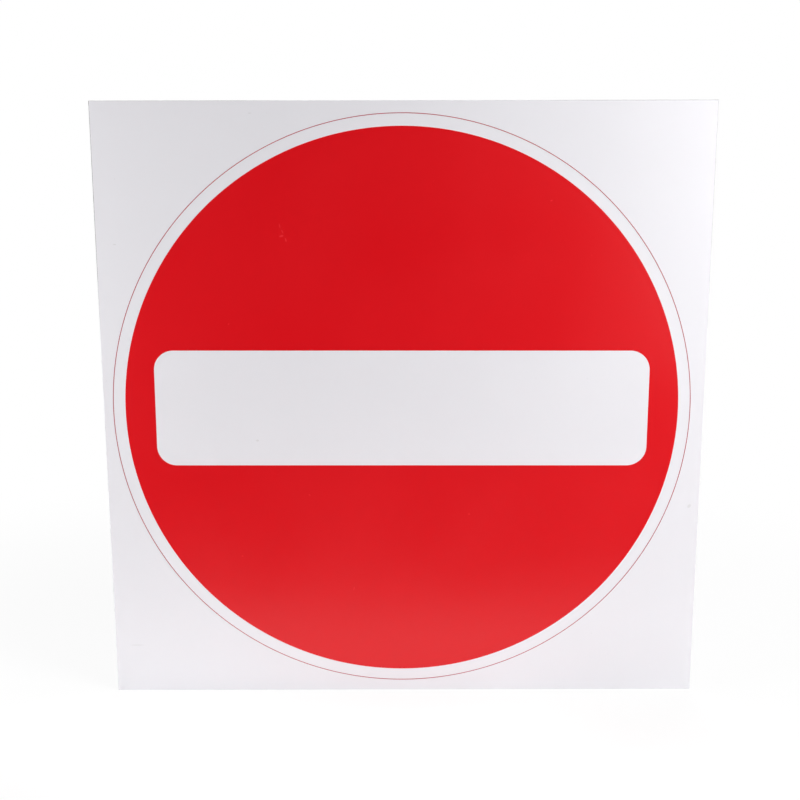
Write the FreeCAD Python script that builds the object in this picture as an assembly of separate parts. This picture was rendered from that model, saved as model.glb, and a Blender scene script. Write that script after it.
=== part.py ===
import FreeCAD, Part
import os

# No entry sign: one square white plastic sheet with a printed red disc, a white bar left open in the
# disc, and a thin red trim circle around it. Millimetres.
# The sign stands upright, with +Z up, and the viewer looks along +Y at its printed face.
# The origin is the middle of the plain back face, which goes against a wall or a post.

# The sheet
sheet_side = 600.0
sheet_thickness = 2.0
edge_round = 0.25  # the cut edges are only just rubbed down

# The print
film_thickness = 0.05  # the red print stands this far out of the sheet
disc_diameter = 553.0
bar_length = 493.0
bar_height = 117.0
bar_corner_radius = 19.5
bar_up = 1.0  # the bar sits this far above the disc's middle
trim_diameter = 577.0  # to the middle of the thin line
trim_width = 0.7
print_left = 2.0  # the whole print sits this far left of the sheet's middle
print_turn = 0.1  # degrees, clockwise for the viewer

# Worked out from these
towards_viewer = FreeCAD.Vector(0, -1, 0)
print_middle = FreeCAD.Vector(-print_left, -sheet_thickness, 0)


# A round film on the front face, as a solid, with its middle at the print's middle
def round_film(diameter):
    return Part.makeCylinder(diameter / 2, film_thickness, print_middle, towards_viewer)


# The print's small turn, about its own middle
def turned(shape):
    shape.rotate(print_middle, FreeCAD.Vector(0, 1, 0), print_turn)
    return shape


# The sheet lies between its back face, at y = 0, and the printed face
def make_sheet():
    corner = FreeCAD.Vector(-sheet_side / 2, -sheet_thickness, -sheet_side / 2)
    sheet = Part.makeBox(sheet_side, sheet_thickness, sheet_side, corner)
    return sheet.makeFillet(edge_round, sheet.Edges)


# The bar's opening goes right through the film, and its four short edges are round
def make_bar_opening():
    middle = print_middle + FreeCAD.Vector(0, 0, bar_up)
    low_corner = middle + FreeCAD.Vector(-bar_length / 2, -2 * film_thickness, -bar_height / 2)
    bar = Part.makeBox(bar_length, 3 * film_thickness, bar_height, low_corner)
    corners = [edge for edge in bar.Edges if edge.Length < bar_corner_radius]
    return bar.makeFillet(bar_corner_radius, corners)


def make_red_disc():
    return turned(round_film(disc_diameter).cut(make_bar_opening()))


def make_trim_line():
    outside = round_film(trim_diameter + trim_width)
    inside = round_film(trim_diameter - trim_width)
    return turned(outside.cut(inside))


pieces = {
    "sign_sheet": make_sheet(),
    "red_disc": make_red_disc(),
    "trim_line": make_trim_line(),
}

os.makedirs("parts", exist_ok=True)
for name, shape in pieces.items():
    solid = shape.Solids[0]
    solid.exportStep("parts/" + name + ".step")
    box = solid.BoundBox
    size = [round(side, 2) for side in (box.XLength, box.YLength, box.ZLength)]
    print(name, "solids", len(shape.Solids), "valid", solid.isValid(), "size", size)
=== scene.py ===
import bpy
import math
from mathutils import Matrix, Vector


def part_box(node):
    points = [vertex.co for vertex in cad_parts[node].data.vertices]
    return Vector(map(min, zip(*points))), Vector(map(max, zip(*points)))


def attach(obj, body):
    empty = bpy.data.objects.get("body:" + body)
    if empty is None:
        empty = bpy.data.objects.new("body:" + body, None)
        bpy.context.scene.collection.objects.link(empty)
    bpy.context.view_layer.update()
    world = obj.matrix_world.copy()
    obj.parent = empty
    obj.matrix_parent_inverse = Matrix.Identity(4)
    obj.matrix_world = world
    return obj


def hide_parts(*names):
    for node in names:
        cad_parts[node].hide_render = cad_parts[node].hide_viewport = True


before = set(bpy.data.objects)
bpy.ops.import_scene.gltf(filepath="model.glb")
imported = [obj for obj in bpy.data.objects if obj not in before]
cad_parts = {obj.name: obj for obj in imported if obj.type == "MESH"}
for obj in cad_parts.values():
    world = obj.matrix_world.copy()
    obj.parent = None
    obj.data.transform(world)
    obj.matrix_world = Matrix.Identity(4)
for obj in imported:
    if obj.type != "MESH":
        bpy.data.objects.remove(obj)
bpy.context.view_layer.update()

scene = bpy.context.scene
scene.view_settings.view_transform = "Standard"

# Where the pieces are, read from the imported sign, in metres. The face looks towards -Y.
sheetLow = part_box("sign_sheet")[0]
discLow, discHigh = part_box("red_disc")
trimLow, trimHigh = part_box("trim_line")
faceY = sheetLow.y  # the printed face
inkDepth = faceY - discLow.y
printX = (trimLow.x + trimHigh.x) / 2  # the print's middle
printZ = (trimLow.z + trimHigh.z) / 2


# The camera of the photograph: a little above the sign, looking down at it
photoCamera = {
    "place": (-0.0050, -1.1090, 0.2210),
    "turn": (79.192, 0.089, -0.076),  # degrees
    "lens": 50.73,  # mm
    "sensor": 36,  # mm wide
}


def makeCamera():
    data = bpy.data.cameras.new("photoCamera")
    data.lens = photoCamera["lens"]
    data.sensor_width = photoCamera["sensor"]
    camera = bpy.data.objects.new("photoCamera", data)
    camera.location = photoCamera["place"]
    camera.rotation_euler = [math.radians(angle) for angle in photoCamera["turn"]]
    scene.collection.objects.link(camera)
    scene.camera = camera


makeCamera()
print("camera set")


# Small helpers for materials

def newMaterial(name):
    material = bpy.data.materials.new(name)
    material.use_nodes = True
    tree = material.node_tree
    tree.nodes.clear()
    return material, tree


# Adds one node; a value is set on the socket of that name, and a socket is linked to it
def addNode(tree, kind, sockets=None, **settings):
    node = tree.nodes.new("ShaderNode" + kind)
    for name, value in settings.items():
        setattr(node, name, value)
    for name, value in (sockets or {}).items():
        if isinstance(value, bpy.types.NodeSocket):
            tree.links.new(value, node.inputs[name])
        else:
            node.inputs[name].default_value = value
    return node


def math2(tree, operation, first, second=0.0, clamp=False):
    return addNode(tree, "Math", {0: first, 1: second}, operation=operation, use_clamp=clamp).outputs[0]


# Fades from 0 to 1 while value goes from low to high
def fade(tree, value, low, high):
    sockets = {"Value": value, "From Min": low, "From Max": high}
    return addNode(tree, "MapRange", sockets, interpolation_type="SMOOTHSTEP").outputs["Result"]


def noise(tree, place, scale, detail=2.0, roughness=0.5):
    sockets = {"Vector": place, "Scale": scale, "Detail": detail, "Roughness": roughness}
    return addNode(tree, "TexNoise", sockets).outputs["Fac"]


# The Mix node takes its two colours at sockets 6 and 7, and gives the mix at 2
def mixColour(tree, amount, first, second):
    node = addNode(tree, "Mix", {"Factor": amount}, data_type="RGBA")
    for socket, value in ((node.inputs[6], first), (node.inputs[7], second)):
        if isinstance(value, bpy.types.NodeSocket):
            tree.links.new(value, socket)
        else:
            socket.default_value = (*value, 1)
    return node.outputs[2]


# The skin that the sheet's faces and the print share: fine peel, slow waves, soft patches of gloss,
# dust that has settled in flecks, and a dent drawn as painted shade
skin = {
    "peelScale": 420,  # bumps per metre
    "peelHeight": 0.000003,  # metres
    "waveScale": 3.5,
    "waveHeight": 0.0003,
    "roughness": (0.28, 0.33),  # from smooth patches to dull ones
    "patchScale": 9,
    "patchSpan": (0.25, 0.75),  # the part of the patches' noise that counts
    "toneSpan": (0.2, 0.8),  # the same for the shade of the colour
    "ior": 1.5,  # of the plastic and of the ink
    "fleckScale": 26,  # places for a fleck, per metre
    "fleckShare": 0.16,  # of the places that hold one
    "fleckLength": (0.0005, 0.0016),
    "fleckNarrow": 2.2,  # times shorter across
    "fleckRim": (0.6, 1.0),  # where a fleck starts to fade and where it ends, in half lengths
    "markRim": (0.3, 1.2),  # the same for a mark that stands out, in squares of half lengths
}

# The marks that stand out: where each one is from the print's middle, its length, width and tilt
marks = {
    "lintTop": (-0.1185, 0.1820, 0.0050, 0.0012, 100),
    "lintUpper": (-0.1160, 0.1765, 0.0045, 0.0014, 115),
    "lintMiddle": (-0.1170, 0.1722, 0.0050, 0.0022, 15),
    "lintLow": (-0.1128, 0.1685, 0.0045, 0.0016, 105),
    "fleckLow": (-0.0496, -0.1884, 0.0045, 0.0011, 80),
    "fleckLeft": (-0.1638, -0.1531, 0.0022, 0.0014, 0),
    "fleckRight": (0.1450, 0.2058, 0.0030, 0.0016, 20),
    "fleckUpper": (-0.1709, 0.0863, 0.0024, 0.0014, 50),
    "fleckMiddle": (0.0683, -0.1088, 0.0026, 0.0018, 0),
    "fleckBelow": (-0.0939, -0.0884, 0.0030, 0.0014, 130),
    "speckInBar": (-0.1453, -0.0316, 0.0034, 0.0024, 0),
    "speckByTrim": (-0.2796, 0.1643, 0.0036, 0.0013, 0),
    "speckAtTop": (-0.1449, 0.2884, 0.0040, 0.0010, 0),
    "scuff": (-0.2759, -0.2499, 0.0150, 0.0010, 0),
    # a dent, drawn as painted shade in the dust colour
    "dentShade": (0.2923, -0.1008, 0.0050, 0.0035, 50),
}


# 1 on one mark, fading out at its rim
def markAt(tree, faceX, faceZ, mark):
    x, z, length, width, tilt = mark
    turn = math.radians(tilt)
    dx = math2(tree, "SUBTRACT", faceX, printX + x)
    dz = math2(tree, "SUBTRACT", faceZ, printZ + z)
    along = math2(tree, "ADD", math2(tree, "MULTIPLY", dx, math.cos(turn) * 2 / length),
                  math2(tree, "MULTIPLY", dz, math.sin(turn) * 2 / length))
    across = math2(tree, "SUBTRACT", math2(tree, "MULTIPLY", dz, math.cos(turn) * 2 / width),
                   math2(tree, "MULTIPLY", dx, math.sin(turn) * 2 / width))
    away = math2(tree, "ADD", math2(tree, "POWER", math2(tree, "ABSOLUTE", along), 2.0),
                 math2(tree, "POWER", math2(tree, "ABSOLUTE", across), 2.0))
    return math2(tree, "SUBTRACT", 1.0, fade(tree, away, *skin["markRim"]))


# Small flecks at random places, each long or short and turned its own way
def scatteredFlecks(tree, flatPlace):
    cells = addNode(tree, "TexVoronoi", {"Vector": flatPlace, "Scale": skin["fleckScale"]},
                    voronoi_dimensions="3D").outputs
    draw = addNode(tree, "SeparateColor", {"Color": cells["Color"]}).outputs
    angle = math2(tree, "MULTIPLY", draw["Red"], math.tau)
    turned = addNode(tree, "VectorRotate", {"Vector": flatPlace, "Center": cells["Position"],
                                            "Axis": (0, 0, 1), "Angle": angle}).outputs["Vector"]
    apart = addNode(tree, "VectorMath", {0: turned, 1: cells["Position"]}, operation="SUBTRACT").outputs[0]
    shape = (2.0, 2.0 * skin["fleckNarrow"], 0.0)
    stretched = addNode(tree, "VectorMath", {0: apart, 1: shape}, operation="MULTIPLY").outputs[0]
    away = addNode(tree, "VectorMath", {0: stretched}, operation="LENGTH").outputs["Value"]
    short, long = skin["fleckLength"]
    length = math2(tree, "ADD", math2(tree, "MULTIPLY", draw["Green"], long - short), short)
    outside = fade(tree, math2(tree, "DIVIDE", away, length), *skin["fleckRim"])
    inside = math2(tree, "SUBTRACT", 1.0, outside)
    chosen = math2(tree, "LESS_THAN", draw["Blue"], skin["fleckShare"])
    return math2(tree, "MULTIPLY", inside, chosen)


def sharedSkin(tree):
    place = addNode(tree, "TexCoord").outputs["Object"]
    axes = addNode(tree, "SeparateXYZ", {"Vector": place}).outputs
    surface = addNode(tree, "NewGeometry").outputs["Normal"]
    facing = addNode(tree, "SeparateXYZ", {"Vector": surface}).outputs["Y"]
    onBack = math2(tree, "GREATER_THAN", facing, 0.0)  # the back has its own flecks, and none of the marks
    flatPlace = addNode(tree, "CombineXYZ", {"X": axes["X"], "Y": axes["Z"], "Z": onBack}).outputs["Vector"]
    peel = noise(tree, place, skin["peelScale"], detail=1.0)
    wave = noise(tree, place, skin["waveScale"], detail=0.0)
    patches = noise(tree, place, skin["patchScale"], detail=1.5, roughness=0.4)
    least, most = skin["patchSpan"]
    smooth, dull = skin["roughness"]
    sockets = {"Value": patches, "From Min": least, "From Max": most, "To Min": smooth, "To Max": dull}
    roughness = addNode(tree, "MapRange", sockets).outputs["Result"]

    wavy = addNode(tree, "Bump", {"Height": wave, "Distance": skin["waveHeight"]})
    peeled = addNode(tree, "Bump", {"Height": peel, "Distance": skin["peelHeight"],
                                    "Normal": wavy.outputs["Normal"]})

    marked = 0.0
    for mark in marks.values():
        marked = math2(tree, "MAXIMUM", marked, markAt(tree, axes["X"], axes["Z"], mark))
    marked = math2(tree, "SUBTRACT", marked, onBack)
    # the dust flecks and marks, with the dent's painted shade among them
    dustAndDentShade = math2(tree, "MAXIMUM", scatteredFlecks(tree, flatPlace), marked)
    return {
        "place": place,
        "axes": axes,
        "facing": facing,
        "tone": fade(tree, patches, *skin["toneSpan"]),
        "roughness": roughness,
        "normal": peeled.outputs["Normal"],
        "dustAndDentShade": dustAndDentShade,
    }


# White plastic sheet: semi-gloss faces, matt sawn edges painted darker as shade and dust, and painted shade
# with some grime along the edges by the two upper corners
whiteSheet = {
    "colour": (0.838, 0.828, 0.864),
    "shade": (0.826, 0.816, 0.852),  # in the slow patches
    # for the dust, and for the painted shade of the dent
    "dustAndDentShadeColour": (0.74, 0.73, 0.75),
    "edgeDustAndShadeColour": (0.52, 0.50, 0.51),  # the saw left them rough, and dust has settled in them; they are also painted darker as shade
    "edgeRoughness": 0.5,
    # how squarely the surface looks along Y where the cut edge ends, and where the face starts
    "cutEnds": (0.05, 0.25),
    "faceStarts": (0.96, 0.995),
    "sawScale": 900,  # marks per metre along the edge
    "sawHeight": 0.00003,
    "sawAcross": 0.08,  # how much slower they change across the edge
    # painted shade on the round joint by the two upper corners, with some grime in it
    "shadeAndGrimeColour": (0.050, 0.048, 0.048),
    "paleShadeAndGrimeColour": (0.22, 0.21, 0.21),  # where the painted shade and grime are paler
    "shadeAndGrimeScale": 14,
    "shadeAndGrimeSpan": (0.4, 0.65),  # the part of its noise that counts
    "shadeAndGrimeSideways": (0.10, 0.18),  # how far from the middle it starts, and where it is all there
    "shadeAndGrimeUp": (0.06, 0.17),  # the same, upwards
    "shadeAndGrimeCreep": (0.00030, 0.00045),  # how far the painted shade and grime reach over the face from the left edge
}


# Fine lines across the cut edges, left by the saw
def sawMarks(tree, place):
    stretch = (1.0, whiteSheet["sawAcross"], 1.0)
    steps = addNode(tree, "VectorMath", {0: place, 1: stretch}, operation="MULTIPLY").outputs[0]
    return noise(tree, steps, whiteSheet["sawScale"], detail=2.0, roughness=0.6)


def makeWhitePlastic():
    material, tree = newMaterial("whitePlastic")
    finish = sharedSkin(tree)
    clean = mixColour(tree, finish["tone"], whiteSheet["shade"], whiteSheet["colour"])
    dustedAndDentShaded = mixColour(tree, finish["dustAndDentShade"], clean, whiteSheet["dustAndDentShadeColour"])

    # The surface looks along Y on the faces, across Y on the cut edges, and in between on their round joint
    flatness = math2(tree, "ABSOLUTE", finish["facing"])
    onFace = fade(tree, flatness, *whiteSheet["faceStarts"])
    offCut = fade(tree, flatness, *whiteSheet["cutEnds"])
    # Painted shade with some grime: dark on the round joint by the two upper corners, and a little way over
    # the face by the left edge
    paleInShadeAndGrime = fade(tree, noise(tree, finish["place"], whiteSheet["shadeAndGrimeScale"]), *whiteSheet["shadeAndGrimeSpan"])
    shadeAndGrime = mixColour(tree, paleInShadeAndGrime, whiteSheet["shadeAndGrimeColour"], whiteSheet["paleShadeAndGrimeColour"])
    sideways = fade(tree, math2(tree, "ABSOLUTE", finish["axes"]["X"]), *whiteSheet["shadeAndGrimeSideways"])
    shadeAndGrimeMask = math2(tree, "MULTIPLY", sideways, fade(tree, finish["axes"]["Z"], *whiteSheet["shadeAndGrimeUp"]))
    joint = mixColour(tree, shadeAndGrimeMask, whiteSheet["colour"], shadeAndGrime)
    inward = math2(tree, "SUBTRACT", finish["axes"]["X"], sheetLow.x)
    shadeAndGrimeByLeftEdge = math2(tree, "SUBTRACT", 1.0, fade(tree, inward, *whiteSheet["shadeAndGrimeCreep"]))
    face = mixColour(tree, math2(tree, "MULTIPLY", shadeAndGrimeByLeftEdge, shadeAndGrimeMask), dustedAndDentShaded, shadeAndGrime)
    # the cut edges get a colour painted darker as shade and dust, the joint its painted shade and grime, and
    # the faces their own
    colour = mixColour(tree, onFace, mixColour(tree, offCut, whiteSheet["edgeDustAndShadeColour"], joint), face)
    roughness = addNode(tree, "Mix", {"Factor": onFace, "A": whiteSheet["edgeRoughness"],
                                      "B": finish["roughness"]}).outputs["Result"]
    onEdge = math2(tree, "SUBTRACT", 1.0, onFace)
    sawn = addNode(tree, "Bump", {"Height": sawMarks(tree, finish["place"]), "Strength": onEdge,
                                  "Distance": whiteSheet["sawHeight"], "Normal": finish["normal"]})

    shader = addNode(tree, "BsdfPrincipled", {"Base Color": colour, "Roughness": roughness,
                                              "Normal": sawn.outputs["Normal"], "IOR": skin["ior"]})
    output = addNode(tree, "OutputMaterial")
    tree.links.new(shader.outputs["BSDF"], output.inputs["Surface"])
    return material


# Printed ink: the same skin over a strong colour
discInk = {"colour": (0.745, 0.0010, 0.0065), "shade": (0.730, 0.0009, 0.0060), "dustAndDentShade": (0.84, 0.026, 0.034)}
trimInk = {"colour": (0.440, 0.0040, 0.0300), "shade": (0.430, 0.0038, 0.0290), "dustAndDentShade": (0.52, 0.040, 0.060)}


def makeInk(name, ink):
    material, tree = newMaterial(name)
    finish = sharedSkin(tree)
    clean = mixColour(tree, finish["tone"], ink["shade"], ink["colour"])
    colour = mixColour(tree, finish["dustAndDentShade"], clean, ink["dustAndDentShade"])
    shader = addNode(tree, "BsdfPrincipled", {"Base Color": colour, "Roughness": finish["roughness"],
                                              "Normal": finish["normal"], "IOR": skin["ior"]})
    output = addNode(tree, "OutputMaterial")
    tree.links.new(shader.outputs["BSDF"], output.inputs["Surface"])
    return material


# Puts a printed piece on the sheet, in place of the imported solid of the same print
def layPrint(name, vertices, faces, material, node):
    mesh = bpy.data.meshes.new(name)
    mesh.from_pydata(vertices, [], faces)
    mesh.validate()
    mesh.materials.append(material)
    piece = bpy.data.objects.new(name, mesh)
    scene.collection.objects.link(piece)
    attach(piece, "root")
    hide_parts(node)


# Closed loops of points, all with the same count, are joined to each other with quads all the way
# round: loop to next loop, and the last one back to the first. Each loop runs anticlockwise for the
# viewer, and they go out over the front and home along the back, so the faces point outwards.
def joinLoops(loops):
    count = len(loops[0])
    vertices = [point for loop in loops for point in loop]
    faces = []
    for a in range(len(loops)):
        b = (a + 1) % len(loops)
        for i in range(count):
            j = (i + 1) % count
            faces.append((a * count + i, b * count + i, b * count + j, a * count + j))
    return vertices, faces


# The red disc, with the white bar left open in it
redDisc = {
    "barLength": 0.493,  # metres
    "barHeight": 0.117,
    "barCorner": 0.0195,
    "barUp": 0.001,  # above the disc's middle
    "turn": 0.1,  # degrees, clockwise for the viewer
    "roundSteps": 720,
    "cornerSteps": 20,
    "rings": 6,  # loops of faces between the bar and the rim
}


# The directions from the disc's middle in which the outlines get points, each with its point on the bar
def discDirections():
    halfLength, halfHeight = redDisc["barLength"] / 2, redDisc["barHeight"] / 2
    corner, up = redDisc["barCorner"], redDisc["barUp"]
    points = []
    for sideX, sideZ, start in ((1, 1, 0), (-1, 1, 90), (-1, -1, 180), (1, -1, 270)):
        middle = Vector((sideX * (halfLength - corner), up + sideZ * (halfHeight - corner)))
        for step in range(redDisc["cornerSteps"] + 1):
            angle = math.radians(start + 90 * step / redDisc["cornerSteps"])
            points.append(middle + corner * Vector((math.cos(angle), math.sin(angle))))
    cornerAngles = [math.atan2(point.y, point.x) % math.tau for point in points]

    # Between two corners the directions are evenly spread, and the bar's side is met where it is
    outline = []
    for i, angle in enumerate(cornerAngles):
        outline.append((angle, points[i]))
        after = cornerAngles[(i + 1) % len(points)]
        gap = (after - angle) % math.tau
        extra = int(gap / math.tau * redDisc["roundSteps"])
        for step in range(1, extra):
            way = angle + gap * step / extra
            along = Vector((math.cos(way), math.sin(way)))
            begin, end = points[i], points[(i + 1) % len(points)]
            side = end - begin
            reach = (begin.x * side.y - begin.y * side.x) / (along.x * side.y - along.y * side.x)
            outline.append((way % math.tau, along * reach))
    return outline


def makeRedDisc(ink):
    radius = (discHigh.x - discLow.x) / 2
    turn = -math.radians(redDisc["turn"])
    barLoop, rimLoop = [], []
    for angle, point in discDirections():
        barLoop.append(point)
        rimLoop.append(radius * Vector((math.cos(angle), math.sin(angle))))

    def printPoint(point, y):
        x = point.x * math.cos(turn) - point.y * math.sin(turn)
        z = point.x * math.sin(turn) + point.y * math.cos(turn)
        return (printX + x, y, printZ + z)

    rings = redDisc["rings"]
    loops = []
    for step in range(rings + 1):  # over the front, from the bar to the rim
        share = step / rings
        loop = [bar.lerp(rim, share) for bar, rim in zip(barLoop, rimLoop)]
        loops.append([printPoint(point, faceY - inkDepth) for point in loop])
    loops.append([printPoint(rim, faceY) for rim in rimLoop])
    loops.append([printPoint(bar, faceY) for bar in barLoop])
    vertices, faces = joinLoops(loops)
    layPrint("redDisc", vertices, faces, ink, "red_disc")


# The thin circle around the disc
trimCircle = {"width": 0.0007, "roundSteps": 720}


def makeTrimCircle(ink):
    outside = (trimHigh.x - trimLow.x) / 2
    inside = outside - trimCircle["width"]
    corners = ((inside, faceY - inkDepth), (outside, faceY - inkDepth), (outside, faceY), (inside, faceY))
    loops = []
    for radius, y in corners:
        loop = []
        for step in range(trimCircle["roundSteps"]):
            angle = math.tau * step / trimCircle["roundSteps"]
            loop.append((printX + radius * math.cos(angle), y, printZ + radius * math.sin(angle)))
        loops.append(loop)
    vertices, faces = joinLoops(loops)
    layPrint("trimCircle", vertices, faces, ink, "trim_line")


def dressSheet(material):
    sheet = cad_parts["sign_sheet"]
    sheet.data.materials.clear()
    sheet.data.materials.append(material)


dressSheet(makeWhitePlastic())
print("sheet dressed")
makeRedDisc(makeInk("redInk", discInk))
makeTrimCircle(makeInk("deepRedInk", trimInk))
print("print laid on the face")


# The studio: a white table top under the sign, white all round for the camera, and lamps
tableTop = {
    "front": -1.8,
    "shine": -0.25,  # as far forward as gloss sees it
    "back": 1.6,
    "side": 1.8,
    "colour": (0.95, 0.95, 0.95),
    "farColour": (0.55, 0.55, 0.55),  # what it throws back from further in front, where the room is dark
    "turnsFar": (-0.2, -0.45),
    "whiten": (0.85, 1.0),  # how white the camera sees it, from under the sign to far away
    "reach": (0.35, 1.0),  # metres from the sign, where it starts to turn whiter and where it is all white
    "inGloss": 0.85,  # how white gloss sees it
}
surround = {"fill": 0.2}  # the light that the rest of the room gives the sign, where 1 is white
plainWhite = (1, 1, 1, 1)
lamps = {
    "key": {"place": (1.18, -0.78, 0.96), "aim": (0, 0, 0), "size": (0.8, 0.8), "spread": 180,
            "watts": 10.25},
    "side": {"place": (0.73, -0.61, 0.26), "aim": (0, 0, 0), "size": (0.6, 0.6), "spread": 180,
             "watts": 4.35},
    "left": {"place": (-0.81, -0.25, 0.15), "aim": (0, 0, 0), "size": (0.6, 0.6), "spread": 180,
             "watts": 3.9},
    "back": {"place": (0.4, 1.6, 0.9), "aim": (0, 0, 0), "size": (1.4, 1.0), "spread": 180, "watts": 18},
    # these shine straight down on the table, which throws their light up at the foot of the sign
    "ahead": {"place": (0, -0.3, -0.12), "aim": (0, -0.3, -1), "size": (0.6, 0.3), "spread": 60,
              "watts": 0.25},
    "foot": {"place": (-0.1, -0.1, -0.12), "aim": (-0.1, -0.1, -1), "size": (0.5, 0.08), "spread": 60,
             "watts": 0.1},
}


# 1 for rays from the camera, and 1 for rays from gloss and through glass: they all see the studio white
def seesWhite(tree):
    path = addNode(tree, "LightPath").outputs
    inGloss = math2(tree, "ADD", path["Is Glossy Ray"], path["Is Transmission Ray"], clamp=True)
    return path["Is Camera Ray"], inGloss


def makePlane(name, corners, material):
    mesh = bpy.data.meshes.new(name)
    mesh.from_pydata(corners, [], [(0, 1, 2, 3)])
    mesh.materials.append(material)
    plane = bpy.data.objects.new(name, mesh)
    scene.collection.objects.link(plane)
    return plane


# The table top is white paint, whitened for the camera, and keeps a share of each shadow near the sign
def makeTableTop():
    material, tree = newMaterial("tableWhite")
    place = addNode(tree, "NewGeometry").outputs["Position"]
    foot = (0, 0, sheetLow.z)
    away = addNode(tree, "VectorMath", {0: place, 1: foot}, operation="DISTANCE").outputs["Value"]
    near, far = tableTop["whiten"]
    start, end = tableTop["reach"]
    sockets = {"Value": away, "From Min": start, "From Max": end, "To Min": near, "To Max": far}
    whiten = addNode(tree, "MapRange", sockets, interpolation_type="SMOOTHSTEP").outputs["Result"]
    byCamera, inGloss = seesWhite(tree)
    nearEnd, farEnd = tableTop["turnsFar"]
    forward = addNode(tree, "SeparateXYZ", {"Vector": place}).outputs["Y"]
    close = math2(tree, "MAXIMUM", fade(tree, forward, farEnd, nearEnd), byCamera)
    light = mixColour(tree, close, tableTop["farColour"], tableTop["colour"])
    paint = addNode(tree, "BsdfDiffuse", {"Color": light})
    dimmer = math2(tree, "MULTIPLY", inGloss, 1 - tableTop["inGloss"])
    strength = math2(tree, "SUBTRACT", 1.0, dimmer)
    glow = addNode(tree, "Emission", {"Color": plainWhite, "Strength": strength})
    share = math2(tree, "ADD", math2(tree, "MULTIPLY", byCamera, whiten), inGloss)
    mix = addNode(tree, "MixShader", {"Fac": share, 1: paint.outputs[0], 2: glow.outputs[0]})
    output = addNode(tree, "OutputMaterial")
    tree.links.new(mix.outputs[0], output.inputs["Surface"])
    z, side = sheetLow.z, tableTop["side"]
    front, shine, back = tableTop["front"], tableTop["shine"], tableTop["back"]
    under = [(-side, shine, z), (side, shine, z), (side, back, z), (-side, back, z)]
    ahead = [(-side, front, z), (side, front, z), (side, shine, z), (-side, shine, z)]
    makePlane("tableTop", under, material)
    makePlane("tableFront", ahead, material).visible_glossy = False


def makeSurround():
    world = bpy.data.worlds.new("surround")
    world.use_nodes = True
    scene.world = world
    tree = world.node_tree
    tree.nodes.clear()
    sees = math2(tree, "ADD", *seesWhite(tree), clamp=True)
    strength = addNode(tree, "Mix", {"Factor": sees, "A": surround["fill"], "B": 1.0}).outputs["Result"]
    background = addNode(tree, "Background", {"Color": plainWhite, "Strength": strength})
    output = addNode(tree, "OutputWorld")
    tree.links.new(background.outputs[0], output.inputs["Surface"])


# The dark side of the room, behind the camera: only gloss sees it
darkRoom = {"y": -2.4, "side": 4.0, "low": -3.0, "high": 4.0, "colour": (0.01, 0.01, 0.01)}


def makeDarkRoom():
    material, tree = newMaterial("darkRoom")
    cloth = addNode(tree, "BsdfDiffuse", {"Color": (*darkRoom["colour"], 1)})
    output = addNode(tree, "OutputMaterial")
    tree.links.new(cloth.outputs[0], output.inputs["Surface"])
    y, side, low, high = darkRoom["y"], darkRoom["side"], darkRoom["low"], darkRoom["high"]
    corners = [(-side, y, low), (side, y, low), (side, y, high), (-side, y, high)]
    wall = makePlane("darkRoom", corners, material)
    wall.visible_camera = False
    wall.visible_diffuse = False
    wall.visible_shadow = False


def makeLamps():
    for name, lamp in lamps.items():
        data = bpy.data.lights.new(name, "AREA")
        data.shape = "RECTANGLE"
        data.size, data.size_y = lamp["size"]
        data.spread = math.radians(lamp["spread"])
        data.energy = lamp["watts"]
        light = bpy.data.objects.new(name, data)
        light.location = lamp["place"]
        aim = Vector(lamp["aim"]) - light.location
        light.rotation_euler = aim.to_track_quat("-Z", "Y").to_euler()
        light.visible_camera = False
        scene.collection.objects.link(light)


makeTableTop()
makeSurround()
makeDarkRoom()
makeLamps()
print("studio lit")
